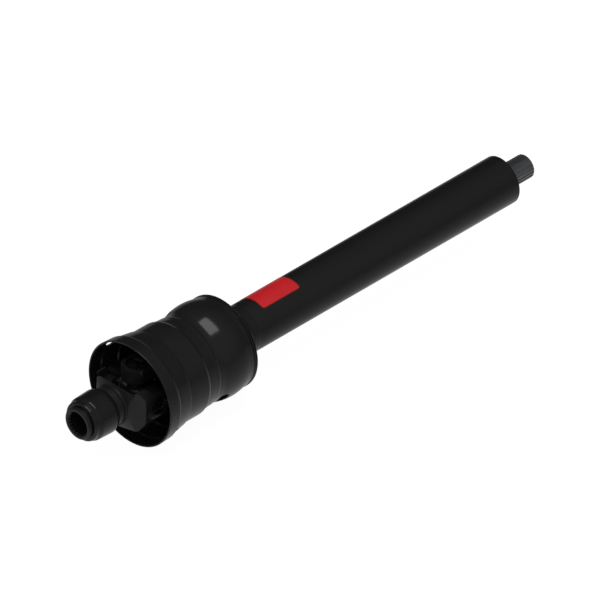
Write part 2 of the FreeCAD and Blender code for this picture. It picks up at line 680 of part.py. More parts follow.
def make_centre_housing():
    """Double fork of the joint: plates above and below, with an open web between the crosses."""
    front, rear = S.joint_station, REAR_STATION
    side = S.joint_length / 2 + S.ear_straight
    plan = prism("housing_plan", PLAN, MIDDLE_STATION, HOUSING_FACE * 2, [
        (-side, -S.ear_half), (side, -S.ear_half), (side, S.ear_half), (-side, S.ear_half)],
        {1: (S.ear_curve, -1), 3: (S.ear_curve, -1)})
    reach = side + S.ear_curve
    slope = HOUSING_FACE - S.waist_height
    outline = prism("housing_outline", SIDE_VIEW, MIDDLE_STATION, THROUGH, [
        (-reach, -HOUSING_FACE), (-S.waist_half - slope, -HOUSING_FACE),
        (-S.waist_half, -S.waist_height), (S.waist_half, -S.waist_height),
        (S.waist_half + slope, -HOUSING_FACE), (reach, -HOUSING_FACE), (reach, HOUSING_FACE),
        (S.waist_half + slope, HOUSING_FACE), (S.waist_half, S.waist_height),
        (-S.waist_half, S.waist_height), (-S.waist_half - slope, HOUSING_FACE),
        (-reach, HOUSING_FACE)])
    slot = prism("housing_slot", SIDE_VIEW, MIDDLE_STATION, THROUGH, [
        (-FAR_OFF, -S.ear_inside), (FAR_OFF, -S.ear_inside), (FAR_OFF, S.ear_inside),
        (-FAR_OFF, S.ear_inside)])
    plates = cut("housing_plates", common("housing_block", plan, outline), slot)
    web = rod("housing_web", S.web_radius, S.web_thickness,
              MIDDLE_STATION - S.web_thickness / 2, TO_X)
    hole = rod("housing_hole", S.web_hole, S.web_recess * 2, MIDDLE_STATION - S.web_recess, TO_X)
    solid = fuse("housing_solid", plates, web)
    tools = ear_tools("housing_front", front, UP) + ear_tools("housing_rear", rear, UP)
    return cut("centre_housing", solid, hole, *tools)


def make_shaft_yoke():
    """Inner yoke: fork, shank with the guard bearing's groove, and the centring socket."""
    station = REAR_STATION
    root = S.flare_reach + S.root_length
    end = station + S.shank_length
    track = TRACK_STATION
    near = station - EAR_END
    bore = S.shaft_tip + S.running_fit
    blank = turned_body("shaft_yoke_blank", [
        (near, 0), (near, S.fork_radius), (station + S.flare_reach, S.fork_radius),
        (station + root, S.shank_radius), (track, S.shank_radius),
        (track, S.shank_radius - S.track_depth),
        (track + S.track_width, S.shank_radius - S.track_depth),
        (track + S.track_width, S.shank_radius), (end - S.nose_chamfer, S.shank_radius),
        (end, S.shank_radius - S.nose_chamfer), (end, bore), (SHAFT_START, bore),
        (SHAFT_START, 0)])
    ring = fork("shaft_yoke", blank, station, 1, root, S.shank_radius)
    mouth = S.joint_length / 2 + S.socket_lead
    outside = S.ball_radius + S.socket_play + S.bush_wall + S.socket_wall
    middle = S.bridge_reach + S.bridge_depth / 2
    socket = rod("yoke_socket", outside, mouth - middle, station - mouth, TO_X)
    hollow = rod("yoke_socket_bore", outside - S.socket_wall, S.bush_length, station - mouth, TO_X)
    pin = through_rod("yoke_pin_hole", S.pin_radius, S.fork_radius, PIN_STATION, UP)
    tools = ear_tools("shaft_yoke_ear", station, TO_Y)
    return cut("shaft_yoke", fuse("shaft_yoke_solid", ring, socket), hollow, pin, *tools)


def make_centring_bush():
    """Bush that the centring ball runs in."""
    mouth = REAR_STATION - S.joint_length / 2 - S.socket_lead
    bore = S.ball_radius + S.socket_play
    return turned_body("centring_bush", [
        (mouth, bore + S.bush_wall / 2), (mouth, bore + S.bush_wall),
        (mouth + S.bush_length, bore + S.bush_wall), (mouth + S.bush_length, bore),
        (mouth + S.bush_wall, bore)])


def make_centring_ball():
    """Ball pressed on the tractor yoke's stud."""
    sphere = place(DOC.addObject("Part::Sphere", "ball_blank"), MIDDLE_STATION)
    bind(sphere, Radius=S.ball_radius)
    hole = rod("ball_hole", S.stud_radius, S.ball_radius,
               MIDDLE_STATION - S.ball_radius, TO_X)
    return cut("centring_ball", sphere, hole)


def make_splined_shaft():
    """Drive shaft with teeth all along."""
    end = S.shaft_station
    shaft = turned_body("splined_shaft", [
        (SHAFT_START, 0), (SHAFT_START, S.shaft_tip), (end - S.shaft_chamfer, S.shaft_tip),
        (end, S.shaft_tip - S.shaft_chamfer), (end, 0)])
    DOC.recompute()
    tooth_gap(shaft, "shaft", S.shaft_tip, S.shaft_root, None, OVERRUN)
    hole = body_sketch(shaft, "XY_Plane", "shaft_pin_outline")
    hole.addGeometry(Part.Circle(FreeCAD.Vector(PIN_STATION.value, 0, 0), ALONG_Z,
                                 S.pin_radius.value), False)
    hole.addConstraint(Sketcher.Constraint("Radius", 0, S.pin_radius.value))
    hole.setExpression("Constraints[0]", S.pin_radius.formula)
    constrain_axis(hole, "DistanceX", 0, 3, PIN_STATION)
    constrain_axis(hole, "DistanceY", 0, 3, as_size(0))
    pocket = shaft.newObject("PartDesign::Pocket", "shaft_pin_hole")
    pocket.Profile = hole
    pocket.Type = "ThroughAll"
    pocket.Midplane = True
    shaft.Tip = pocket
    return shaft


def make_spring_pin():
    """Rolled pin that holds the shaft in its yoke."""
    length = (S.shank_radius - S.side_gap) * 2
    outside = rod("pin_blank", S.pin_radius, length, PIN_STATION, UP,
                  -S.shank_radius + S.side_gap)
    inside = rod("pin_bore", S.pin_radius - S.pin_wall, S.shank_radius * 2, PIN_STATION, UP,
                 -S.shank_radius)
    return cut("spring_pin", outside, inside)


def make_shield_bearing():
    """Plastic ring that turns in the shank's groove and carries the guard."""
    track = TRACK_STATION
    back = track + S.track_width
    clear = S.shank_radius + S.side_gap
    lip = S.shank_radius - S.track_depth + S.side_gap
    return turned_body("shield_bearing", [
        (track - S.bearing_front, clear), (track - S.bearing_front, TUBE_BORE),
        (back + S.bearing_back, TUBE_BORE), (back + S.bearing_back, clear),
        (back - S.side_gap, clear), (back - S.side_gap, lip), (track + S.side_gap, lip),
        (track + S.side_gap, clear)])


def bell_outline():
    """Outside of the bell, from its mouth to its rear rim."""
    return [
        (S.mouth_station, S.mouth_radius), (S.skirt_end, S.skirt_radius),
        (S.cone_start, S.cone_radius), (S.cone_end, S.cone_end_radius),
        (S.drum_start, S.drum_radius), (S.drum_end, S.drum_radius),
        (S.waist_start, S.waist_start_radius), (S.waist_middle, S.waist_radius),
        (S.bulge_start, S.bulge_start_radius), (S.bulge_end, S.bulge_end_radius),
        (S.rim_station, S.rim_radius)]


def make_shield_bell():
    """Blown bell over the joint, stepped and bulged, with two pairs of level holes."""
    outside = bell_outline()
    inside = [(station, radius - S.bell_wall) for station, radius in reversed(outside)]
    rim = [(S.rim_station + S.rim_slope, S.flange_radius), (S.flange_station, S.flange_radius),
           (S.flange_station, S.rim_radius - S.bell_wall)]
    bulge = len(outside) - 3
    last = len(outside) + len(rim) + 1
    shell = turned_body("bell_shell", outside + rim + inside,
                        {bulge: (S.bulge_curve, 1), last: (S.bulge_curve - S.bell_wall, -1)})
    holes = []
    for name, radius, station, height in (
            ("small", S.small_hole, S.small_hole_station, S.small_hole_height),
            ("large", S.large_hole, S.large_hole_station, S.large_hole_height)):
        for side, way, level in (("high", TO_Y, height), ("low", opposite(TO_Y), -height)):
            hole = rod("bell_%s_hole_%s" % (name, side), radius, S.mouth_radius * 2, station, way)
            bind(hole, Placement__Base__z=level)
            holes.append(hole)
    return cut("shield_bell", shell, *holes)


def make_shield_back():
    """Cone that closes the bell behind the joint and sits on the guard tube."""
    front = S.flange_station
    thick = front + S.flange_thickness
    wall = S.back_wall
    inside = TUBE_RADIUS - S.tube_seat
    outside = TUBE_RADIUS + S.back_rise
    bell_bore = S.rim_radius - S.bell_wall
    end = S.back_station
    return turned_body("shield_back_cone", [
        (front, bell_bore - wall), (front, S.flange_radius), (thick, S.flange_radius),
        (thick, bell_bore), (end - S.back_lip, outside), (end, outside),
        (end + S.back_lip, TUBE_RADIUS + S.back_edge), (end + S.back_lip, inside),
        (end - S.sleeve_length, inside), (end - S.sleeve_length, inside + wall)],
        {5: (S.back_round, 1)})


def make_shield_tube():
    """Extruded guard tube over the shaft, with a turned seat for the back cone."""
    front = TRACK_STATION - S.tube_lead
    seat = TUBE_RADIUS - S.tube_seat
    seat_end = S.back_station + S.back_lip
    return turned_body("shield_tube", [
        (front, TUBE_BORE), (front, seat), (seat_end, seat), (seat_end, TUBE_RADIUS),
        (S.tube_end, TUBE_RADIUS), (S.tube_end, TUBE_BORE)])


def make_label():
    """Bare label with rounded corners, wrapped round the tube."""
    start = S.label_station
    end = start + S.label_length
    half = TUBE_RADIUS * math.sin(math.radians(S.label_span.value / 2))
    turn = FreeCAD.Rotation(ALONG_X, S.label_start.value + S.label_span.value / 2 - 90)
    edge = S.label_round
    outline = prism("label_outline", turn, as_size(0), TUBE_RADIUS * 2, [
        (start + edge, -half), (end - edge, -half), (end, edge - half), (end, half - edge),
        (end - edge, half), (start + edge, half), (start, half - edge), (start, edge - half)],
        {1: (edge, -1), 3: (edge, -1), 5: (edge, -1), 7: (edge, -1)})
    outline.Symmetric = False
    outside = TUBE_RADIUS + S.label_thickness
    sleeve = turned_body("label_sleeve", [
        (start, TUBE_RADIUS), (start, outside), (end, outside), (end, TUBE_RADIUS)])
    return common("label", sleeve, outline)


def group(name, *pieces):
    """Keep like pieces of one carrier in one node."""
    together = DOC.addObject("Part::Compound", name)
    together.Links = list(pieces)
    return together


def make_bearings():
    """Caps, snap rings and seals of the four pairs of ears."""
    nodes = {}
    pairs = (("yoke", S.joint_station, ("left", "right")),
             ("housing_front", S.joint_station, ("top", "bottom")),
             ("housing_rear", REAR_STATION, ("top", "bottom")),
             ("shaft_yoke", REAR_STATION, ("left", "right")))
    for owner, station, sides in pairs:
        rings, seals = [], []
        for side in sides:
            cap = "%s_cap_%s" % (owner, side)
            nodes[cap] = make_cap(cap, station, side)
            rings.append(make_snap_ring("%s_ring_%s" % (owner, side), station, side))
            seals.append(make_seal("%s_seal_%s" % (owner, side), station, side))
        nodes[owner + "_snap_rings"] = group(owner + "_snap_rings", *rings)
        nodes[owner + "_seals"] = group(owner + "_seals", *seals)
    return nodes


def make_nodes():
    """Build every piece and return them by node name."""
    nodes = {
        "tractor_yoke": make_tractor_yoke(),
        "slide_collar": make_slide_collar(),
        "collar_stop_ring": make_stop_ring(),
        "collar_spring": make_collar_spring(),
        "centring_ball": make_centring_ball(),
        "front_cross": make_cross("front_cross", S.joint_station),
        "front_grease_fitting": make_fitting("front_grease_fitting", S.joint_station),
        "centre_housing": make_centre_housing(),
        "rear_cross": make_cross("rear_cross", REAR_STATION),
        "rear_grease_fitting": make_fitting("rear_grease_fitting", REAR_STATION),
        "shaft_yoke": make_shaft_yoke(),
        "centring_bush": make_centring_bush(),
        "splined_shaft": make_splined_shaft(),
        "spring_pin": make_spring_pin(),
        "shield_bearing": make_shield_bearing(),
        "shield_bell": make_shield_bell(),
        "shield_back_cone": make_shield_back(),
        "shield_tube": make_shield_tube(),
        "label": make_label(),
    }
    nodes.update(make_lock_balls())
    nodes.update(make_bearings())
    return nodes


def check(nodes):
    """Stop at a feature that failed or a piece that is not a valid solid."""
    failed = [item.Name for item in DOC.Objects
              if "Invalid" in item.State or "Error" in item.State]
    if failed:
        raise RuntimeError("failed features: " + ", ".join(failed))
    for name, node in nodes.items():
        if node.Shape.isNull() or not node.Shape.isValid() or not node.Shape.Solids:
            raise RuntimeError("bad solid: " + name)


def main():
    """Build the pieces, check them and write one STEP file each."""
    nodes = make_nodes()
    DOC.recompute()
    check(nodes)
    os.makedirs("parts", exist_ok=True)
    for name, node in nodes.items():
        node.Label = name
        node.Shape.exportStep(os.path.join("parts", name + ".step"))
        box = node.Shape.BoundBox
        print("%-24s %2d solids %10.1f mm3  x %.1f to %.1f" % (
            name, len(node.Shape.Solids), node.Shape.Volume, box.XMin, box.XMax))


main()
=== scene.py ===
"""Looks of the guarded drive shaft: turned and forged pieces, their finishes, the studio."""
from __future__ import annotations

import json
import logging
import math
from dataclasses import dataclass, field
from enum import Enum

import bmesh
import bpy
from mathutils import Matrix, Vector


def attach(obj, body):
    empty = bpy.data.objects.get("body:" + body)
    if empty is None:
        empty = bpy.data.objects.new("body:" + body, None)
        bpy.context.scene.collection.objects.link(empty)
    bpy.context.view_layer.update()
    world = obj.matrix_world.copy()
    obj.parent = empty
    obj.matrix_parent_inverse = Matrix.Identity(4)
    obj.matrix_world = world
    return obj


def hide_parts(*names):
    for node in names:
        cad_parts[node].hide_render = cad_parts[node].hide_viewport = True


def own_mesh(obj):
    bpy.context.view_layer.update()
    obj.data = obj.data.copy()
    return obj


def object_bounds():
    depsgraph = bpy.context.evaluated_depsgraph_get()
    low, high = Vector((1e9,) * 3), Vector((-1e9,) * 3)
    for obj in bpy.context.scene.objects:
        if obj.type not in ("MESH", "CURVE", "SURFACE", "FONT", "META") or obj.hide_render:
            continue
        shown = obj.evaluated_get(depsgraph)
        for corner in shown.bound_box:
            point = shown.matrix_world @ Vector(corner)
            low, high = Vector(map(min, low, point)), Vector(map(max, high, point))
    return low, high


LOG = logging.getLogger("drive_shaft")
MILLIMETRE = 0.001
WHITE = (1.0, 1.0, 1.0, 1.0)
# Points nearer to each other than this, in metres, are one point.
WELD = 1e-7
# Angles in degrees past which an edge of a forging, a turned piece or a film stays sharp.
FORGED_CREASE = 30.0
TURNED_CREASE = 38.0
FILM_CREASE = 60.0
# Broad patches are this many times as large as the fine grain.
PATCH_SIZE = 24
# Grain between these values goes from the shade to the main colour.
SHADE_RANGE = (0.12, 0.42)
# Broad patches between these values go from the lowest to the highest roughness.
GLOSS_RANGE = (0.3, 0.7)
# Faces along a softened corner, and the most of an edge that one such corner takes up.
SOFT_STEPS = 6
EDGE_SHARE = 0.45
# Longest of the short faces beside it, in millimetres, which keep the shading off the flats.
LONGEST_HOLD = 0.3
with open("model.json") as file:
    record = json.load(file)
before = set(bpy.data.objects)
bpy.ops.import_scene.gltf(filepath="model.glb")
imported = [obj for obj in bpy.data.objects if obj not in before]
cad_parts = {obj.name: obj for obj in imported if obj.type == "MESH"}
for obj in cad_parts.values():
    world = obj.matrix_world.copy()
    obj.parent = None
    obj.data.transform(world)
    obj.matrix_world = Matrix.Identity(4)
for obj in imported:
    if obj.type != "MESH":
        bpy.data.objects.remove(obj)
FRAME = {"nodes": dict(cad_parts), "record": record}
CAD_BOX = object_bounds()


class Carrier(Enum):
    """Body of the shaft that a piece rides on."""

    SHAFT = "shaft"
    GUARD = "guard"
    COLLAR = "collar"
    YOKE = "yoke"


class Grain(Enum):
    """Stretch of a surface's grain along the shaft, which tells how it was made."""

    MOULDED = 1.0
    CAST = 0.8
    TURNED = 0.04
    DRAWN = 18.0


def linear(hex_colour: str) -> tuple[float, float, float, float]:
    """Turn an sRGB hex colour into linear light.

    Args:
        hex_colour: six hex digits.

    Returns:
        Red, green, blue and alpha, each from 0 to 1.
    """
    parts = [int(hex_colour[place:place + 2], 16) / 255 for place in (0, 2, 4)]
    light = [part / 12.92 if part <= 0.04045 else ((part + 0.055) / 1.055) ** 2.4
             for part in parts]
    return light[0], light[1], light[2], 1.0


def add_node(tree: bpy.types.NodeTree, kind: str, inputs: dict | None = None,
             **settings: object) -> bpy.types.Node:
    """Add a node with its settings, values and links.

    Args:
        tree: node tree that gets the node.
        kind: the node's type name.
        inputs: value or linked output socket for each input, by name or number.
        settings: properties of the node.

    Returns:
        The new node.
    """
    node = tree.nodes.new(kind)
    for name, value in settings.items():
        setattr(node, name, value)
    for key, value in (inputs or {}).items():
        if isinstance(value, bpy.types.NodeSocket):
            tree.links.new(value, node.inputs[key])
        else:
            node.inputs[key].default_value = value
    return node


@dataclass(frozen=True)
class Finish:
    """A finish with mottled colour, uneven gloss and fine relief.

    Attributes:
        name: what the surface is and how it was made.
        slot: material slot of the record.
        colour: main colour, sRGB hex.
        shade: colour of its darker or worn spots, sRGB hex.
        gloss: lowest and highest roughness.
        grain_mm: size of the grain.
        relief_mm: height of the grain.
        grain: how the surface was made.
        metallic: 1 for bare metal.
        ior: index of refraction, or nothing for a metal.
        coat: strength of a clear film.
        mirror: how strongly it mirrors when seen straight on, 0.5 for the index alone.
    """

    name: str
    slot: str
    colour: str
    shade: str
    gloss: tuple[float, float]
    grain_mm: float
    relief_mm: float
    grain: Grain = Grain.MOULDED
    metallic: float = 0.0
    ior: float | None = None
    coat: float = 0.0
    mirror: float = 0.5

    def material(self) -> bpy.types.Material:
        """Return the finish's material, made once."""
        return bpy.data.materials.get(self.name) or self.build()

    def build(self) -> bpy.types.Material:
        """Make the material's nodes.

        Returns:
            The new material.
        """
        material = bpy.data.materials.new(self.name)
        material.use_nodes = True
        material.diffuse_color = linear(self.colour)
        tree = material.node_tree
        shader = tree.nodes["Principled BSDF"]
        shader.inputs["Metallic"].default_value = self.metallic
        if self.ior is not None:
            shader.inputs["IOR"].default_value = self.ior
        shader.inputs["Specular IOR Level"].default_value = self.mirror
        if self.coat:
            shader.inputs["Coat Weight"].default_value = self.coat
            shader.inputs["Coat Roughness"].default_value = self.gloss[0] / 2
        place = add_node(tree, "ShaderNodeTexCoord")
        along = add_node(tree, "ShaderNodeMapping", {
            "Vector": place.outputs["Object"], "Scale": (1 / self.grain.value, 1, 1)})
        fine = add_node(tree, "ShaderNodeTexNoise", {
            "Vector": along.outputs["Vector"], "Scale": 1 / (self.grain_mm * MILLIMETRE),
            "Detail": 3.0, "Roughness": 0.55})
        broad = add_node(tree, "ShaderNodeTexNoise", {
            "Vector": along.outputs["Vector"],
            "Scale": 1 / (self.grain_mm * PATCH_SIZE * MILLIMETRE), "Detail": 2.0})
        both = add_node(tree, "ShaderNodeMath", {
            0: fine.outputs["Fac"], 1: broad.outputs["Fac"]}, operation="MULTIPLY")
        spots = add_node(tree, "ShaderNodeMapRange", {
            "Value": both.outputs["Value"], "From Min": SHADE_RANGE[0],
            "From Max": SHADE_RANGE[1]})
        blend = add_node(tree, "ShaderNodeMix", {
            0: spots.outputs["Result"], 6: linear(self.shade), 7: linear(self.colour)},
            data_type="RGBA")
        tree.links.new(blend.outputs[2], shader.inputs["Base Color"])
        gloss = add_node(tree, "ShaderNodeMapRange", {
            "Value": broad.outputs["Fac"], "From Min": GLOSS_RANGE[0],
            "From Max": GLOSS_RANGE[1], "To Min": self.gloss[0], "To Max": self.gloss[1]})
        tree.links.new(gloss.outputs["Result"], shader.inputs["Roughness"])
        relief = add_node(tree, "ShaderNodeBump", {
            "Height": fine.outputs["Fac"], "Distance": self.relief_mm * MILLIMETRE,
            "Strength": 1.0})
        tree.links.new(relief.outputs["Normal"], shader.inputs["Normal"])
        return material


# Blown polyethylene: near-black and waxy, with a soft gloss and a faint orange peel.
BELL_PLASTIC = Finish("blown_polyethylene", "bell_plastic", "1A1A1A", "171718", (0.12, 0.17),
                      2.4, 0.003, ior=1.54, mirror=0.34)
# Injected polypropylene: smoother and glossier than the bell.
GUARD_PLASTIC = Finish("moulded_polypropylene", "guard_plastic", "1A1A1A", "171718",
                       (0.13, 0.18), 1.6, 0.002, ior=1.49, mirror=0.38)
# Extruded polypropylene: die lines run the length of the tube.
TUBE_PLASTIC = Finish("extruded_polypropylene", "guard_plastic", "1A1A1A", "171718",
                      (0.13, 0.18), 1.2, 0.002, grain=Grain.DRAWN, ior=1.49, mirror=0.38)
# Acetal bearing ring: dense, smooth and a little waxy.
BEARING_PLASTIC = Finish("turned_acetal", "bearing_plastic", "D8D4C6", "C9C4B4", (0.32, 0.4),
                         1.0, 0.003, ior=1.48)
# Black enamel over a forging: the scale of the die shows through the paint.
FORGING_PAINT = Finish("enamelled_forging", "joint_paint", "1B1B1C", "161617", (0.24, 0.36),
                       1.8, 0.012, grain=Grain.CAST, ior=1.5, coat=0.12, mirror=0.34)
# Black enamel over turned steel: fine rings under the paint.
COLLAR_PAINT = Finish("enamelled_collar", "collar_paint", "171718", "141414", (0.07, 0.12),
                      1.0, 0.003, ior=1.5, coat=0.12, mirror=0.34)
# Rolled and drawn carbon steel: dull grey with lines along its length.
SHAFT_STEEL = Finish("drawn_steel", "shaft_steel", "9C9DA0", "787A7C", (0.34, 0.46), 0.9,
                     0.006, grain=Grain.DRAWN, metallic=1.0)
# Case-hardened steel: dark grey from the furnace, with an oily sheen.
CROSS_STEEL = Finish("hardened_steel", "cross_steel", "868788", "5E5D5C", (0.28, 0.42), 1.4,
                     0.006, metallic=1.0)
# Drawn bearing caps: ground bright on the outside.
CAP_STEEL = Finish("drawn_cap_steel", "cap_steel", "C6C7C8", "A6A7AA", (0.18, 0.3), 0.8,
                   0.002, grain=Grain.TURNED, metallic=1.0)
# Bearing steel: lapped balls and races, nearly a mirror.
BALL_STEEL = Finish("lapped_steel", "bearing_steel", "B4B5B7", "9FA0A2", (0.08, 0.14), 0.6,
                    0.001, metallic=1.0)
# Oil-tempered wire: blue-grey, smooth along the wire.
SPRING_STEEL = Finish("tempered_wire", "spring_steel", "4C4E52", "38393C", (0.26, 0.38), 0.7,
                      0.003, metallic=1.0)
# Zinc-plated fitting: bright with a bluish cast.
ZINC = Finish("zinc_plate", "fitting_zinc", "B9BCC0", "9A9DA2", (0.2, 0.32), 0.5, 0.002,
              metallic=1.0)
# Sintered bronze: porous, dull and warm.
BRONZE = Finish("sintered_bronze", "bronze", "8A6A42", "6B5032", (0.38, 0.5), 0.4, 0.006,
                metallic=1.0)
# Nitrile rubber: matt black with a bloom.
RUBBER = Finish("nitrile_rubber", "seal_rubber", "1C1C1C", "232322", (0.55, 0.7), 0.6, 0.006,
                ior=1.52)
# Red vinyl film: plain, satin, stuck to the tube.
LABEL_FILM = Finish("vinyl_film", "label_red", "C4161D", "B9141A", (0.3, 0.38), 3.0, 0.002,
                    ior=1.5, mirror=0.4)
# The film's printed edge: the same vinyl, inked a darker red.
LABEL_EDGE = Finish("inked_vinyl", "label_red", "5A0B10", "4E090D", (0.3, 0.38), 3.0, 0.002,
                    ior=1.5)

CAD_FINISHES: dict[str, Finish] = {
    finish.slot: finish for finish in (
        BELL_PLASTIC, GUARD_PLASTIC, BEARING_PLASTIC, FORGING_PAINT, COLLAR_PAINT, SHAFT_STEEL,
        CROSS_STEEL, CAP_STEEL, BALL_STEEL, SPRING_STEEL, ZINC, BRONZE, RUBBER, LABEL_FILM)}


@dataclass(frozen=True)
class Corner:
    """Corner of a turned profile, in millimetres.

    Attributes:
        station: place along the shaft.
        radius: distance from the axis.
        soft: radius that softens the corner.
        sweep: radius of the arc that goes on to the next corner, or 0 for a straight line.
    """

    station: float
    radius: float
    soft: float = 0.0
    sweep: float = 0.0

    def place(self) -> Vector:
        """Return the corner as a point of the profile."""
        return Vector((self.station, self.radius))


def soft_corner(before: Vector, here: Vector, after: Vector, radius: float) -> list[Vector]:
    """Round one corner.

    Args:
        before: the corner before it.
        here: the corner.
        after: the corner after it.
        radius: radius of the rounding.

    Returns:
        Points from the edge before the corner to the edge after it.
    """
    back, ahead = before - here, after - here
    turn = math.pi - back.angle(ahead)
    reach = min(radius * math.tan(turn / 2), EDGE_SHARE * back.length,
                EDGE_SHARE * ahead.length)
    hold = min(LONGEST_HOLD, 0.1 * reach + 0.1)
    back.normalize()
    ahead.normalize()
    round_radius = reach / math.tan(turn / 2)
    centre = here + (back + ahead).normalized() * math.hypot(reach, round_radius)
    first, last = here + back * reach - centre, here + ahead * reach - centre
    arc = [centre + first.lerp(last, step / SOFT_STEPS).normalized() * round_radius
           for step in range(SOFT_STEPS + 1)]
    return [here + back * (reach + hold), *arc, here + ahead * (reach + hold)]


def swept(start: Vector, finish: Vector, radius: float, steps: int = 28) -> list[Vector]:
    """Return the points between two corners along an arc that bulges from the axis.

    Args:
        start: the corner that the arc leaves.
        finish: the corner that it reaches.
        radius: the arc's radius, below 0 where the profile runs back towards the nose.
        steps: number of pieces.

    Returns:
        The points between the two corners.
    """
    chord = finish - start
    side = Vector((-chord.y, chord.x)).normalized() * math.copysign(1.0, radius)
    centre = (start + finish) / 2 - side * math.sqrt(radius ** 2 - (chord.length / 2) ** 2)
    return [centre + (start - centre).lerp(finish - centre, step / steps).normalized()
            * abs(radius) for step in range(1, steps)]


def profile_points(corners: list[Corner]) -> list[Vector]:
    """Turn the corners of a closed profile into points.

    Args:
        corners: corners in order round the profile.

    Returns:
        Points in order, close together at the rounded corners.
    """
    points: list[Vector] = []
    for number, corner in enumerate(corners):
        here = corner.place()
        after = corners[(number + 1) % len(corners)].place()
        if corner.soft:
            points += soft_corner(corners[number - 1].place(), here, after, corner.soft)
        else:
            points.append(here)
        if corner.sweep:
            points += swept(here, after, corner.sweep)
    return points


def mesh_object(name: str, shape: bmesh.types.BMesh,
                crease: float = TURNED_CREASE) -> bpy.types.Object:
    """Turn a finished shape into a smooth-shaded object in the scene.

    Args:
        name: name of the piece.
        shape: its mesh, which is freed.
        crease: angle in degrees past which an edge stays sharp.

    Returns:
        The new object.
    """
    bmesh.ops.remove_doubles(shape, verts=shape.verts, dist=WELD)
    bmesh.ops.recalc_face_normals(shape, faces=shape.faces)
    mesh = bpy.data.meshes.new(name)
    shape.to_mesh(mesh)
    shape.free()
    mesh.polygons.foreach_set("use_smooth", [True] * len(mesh.polygons))
    mesh.set_sharp_from_angle(angle=math.radians(crease))
    piece = bpy.data.objects.new(name, mesh)
    bpy.context.scene.collection.objects.link(piece)
    return piece


def skin(shape: bmesh.types.BMesh, rings: list[list[bmesh.types.BMVert]],
         closed: bool = False) -> None:
    """Join each ring of points to the next with faces.

    Args:
        shape: mesh that gets the faces.
        rings: rings with the same number of points.
        closed: whether the last ring meets the first, or both ends get a face.
    """
    pairs = list(zip(rings, rings[1:]))
    if closed:
        pairs.insert(0, (rings[-1], rings[0]))
    for before, after in pairs:
        for step in range(len(before)):
            shape.faces.new((before[step - 1], before[step], after[step], after[step - 1]))
    if not closed:
        shape.faces.new(rings[0])
        shape.faces.new(rings[-1])


def rod(name: str, radius: float, length: float, segments: int,
        place: Matrix) -> bpy.types.Object:
    """Return a round rod.

    Args:
        name: name of the rod.
        radius: its radius, in millimetres.
        length: its length, in millimetres.
        segments: number of faces round it.
        place: its middle in metres, and its turn from upright.
    """
    shape = bmesh.new()
    bmesh.ops.create_cone(shape, cap_ends=True, segments=segments,
                          radius1=radius * MILLIMETRE, radius2=radius * MILLIMETRE,
                          depth=length * MILLIMETRE, matrix=place)
    return mesh_object(name, shape)


def turned(name: str, corners: list[Corner], segments: int) -> bpy.types.Object:
    """Turn a closed profile about the shaft's axis.

    Args:
        name: name of the piece.
        corners: corners of the profile, in millimetres.
        segments: number of faces round the axis.

    Returns:
        The turned piece.
    """
    shape = bmesh.new()
    rings = []
    for point in profile_points(corners):
        station, radius = point * MILLIMETRE
        angles = [math.tau * step / segments for step in range(segments)]
        rings.append([shape.verts.new((station, radius * math.cos(angle),
                                       radius * math.sin(angle))) for angle in angles])
    skin(shape, rings, closed=True)
    return mesh_object(name, shape)


def bake(piece: bpy.types.Object) -> None:
    """Make a piece's modifiers part of its mesh."""
    graph = bpy.context.evaluated_depsgraph_get()
    mesh = bpy.data.meshes.new_from_object(piece.evaluated_get(graph))
    rough = piece.data
    piece.modifiers.clear()
    piece.data = mesh
    bpy.data.meshes.remove(rough)
    mesh.name = piece.name


def carve(piece: bpy.types.Object, cutters: list[bpy.types.Object], crease: float,
          crossing: bool = False) -> None:
    """Cut shapes out of a piece and remove them.

    Args:
        piece: the piece.
        cutters: the shapes.
        crease: angle in degrees past which an edge stays sharp.
        crossing: whether shells of the piece cross one another.
    """
    for cutter in cutters:
        cut = piece.modifiers.new(cutter.name, "BOOLEAN")
        cut.object = cutter
        cut.operation = "DIFFERENCE"
        cut.solver = "EXACT"
        cut.use_self = crossing
    bake(piece)
    piece.data.set_sharp_from_angle(angle=math.radians(crease))
    for cutter in cutters:
        bpy.data.objects.remove(cutter)


def settle(piece: bpy.types.Object, carrier: Carrier, finishes: list[Finish],
           *nodes: str) -> None:
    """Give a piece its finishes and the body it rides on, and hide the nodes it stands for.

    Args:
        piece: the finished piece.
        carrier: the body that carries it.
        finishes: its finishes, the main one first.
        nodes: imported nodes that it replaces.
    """
    places = [face.material_index for face in piece.data.polygons]
    piece.data.materials.clear()
    for finish in finishes:
        piece.data.materials.append(finish.material())
    if len(finishes) > 1:
        piece.data.polygons.foreach_set("material_index", places)
    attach(piece, carrier.value)
    if nodes:
        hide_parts(*nodes)
    LOG.info("%s: %s, %d faces", piece.name, finishes[0].name, len(piece.data.polygons))


